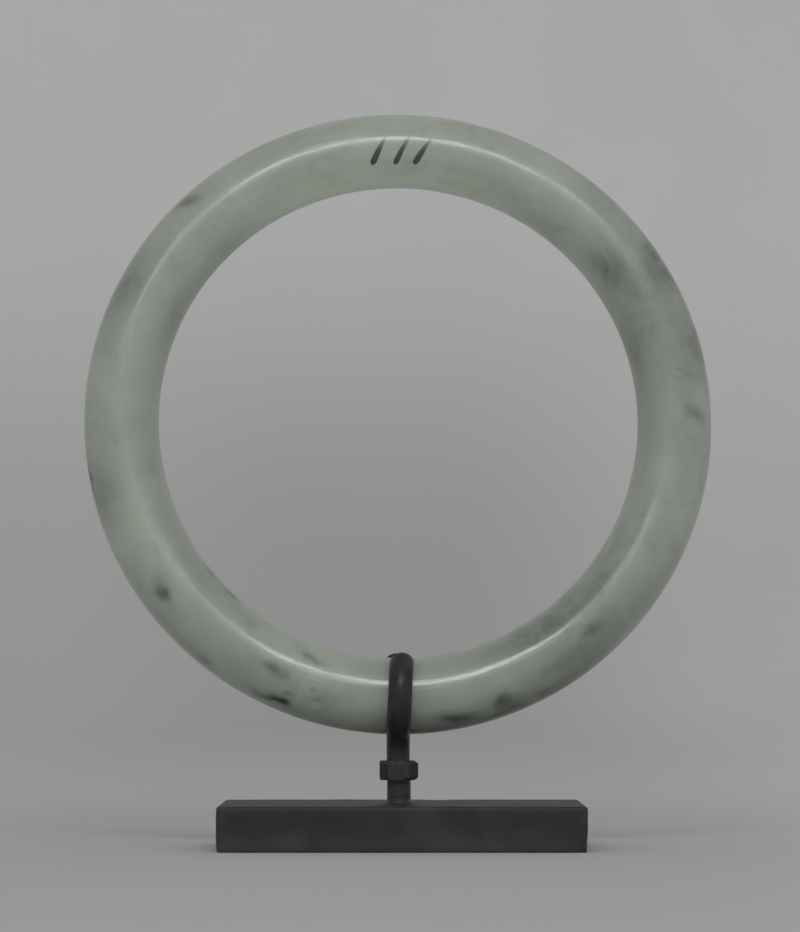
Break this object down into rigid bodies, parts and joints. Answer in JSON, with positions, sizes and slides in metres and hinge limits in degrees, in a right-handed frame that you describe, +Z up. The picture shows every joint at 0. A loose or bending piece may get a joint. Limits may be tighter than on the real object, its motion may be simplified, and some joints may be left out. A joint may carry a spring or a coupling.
{
  "type": "jade bangle",
  "caption": "Plain round-section stone bangle, leaning back slightly in a split-rod clasp with a hexagonal nut on a rectangular metal foot block.",
  "frame": {"origin": "on the underside of the foot block, under the stem's axis", "axes": "+Z up, +X to the right seen from the front, +Y away from the viewer, the way the ring leans"},
  "size_m": [0.092, 0.031, 0.1079],
  "materials": {
    "jade": "hand-ground and polished, cloudy pale grey-green with dark veins and specks",
    "block_paint": "dark matt paint, slightly rubbed along the edges",
    "nut_paint": "dark satin paint, slightly rubbed on the corners",
    "clasp_paint": "dark satin paint with fine file marks"
  },
  "bodies": {
    "root": {"jade_bangle": "jade", "stand_block": "block_paint", "hex_nut": "nut_paint", "stand_clasp": "clasp_paint"}
  },
  "joints": []
}
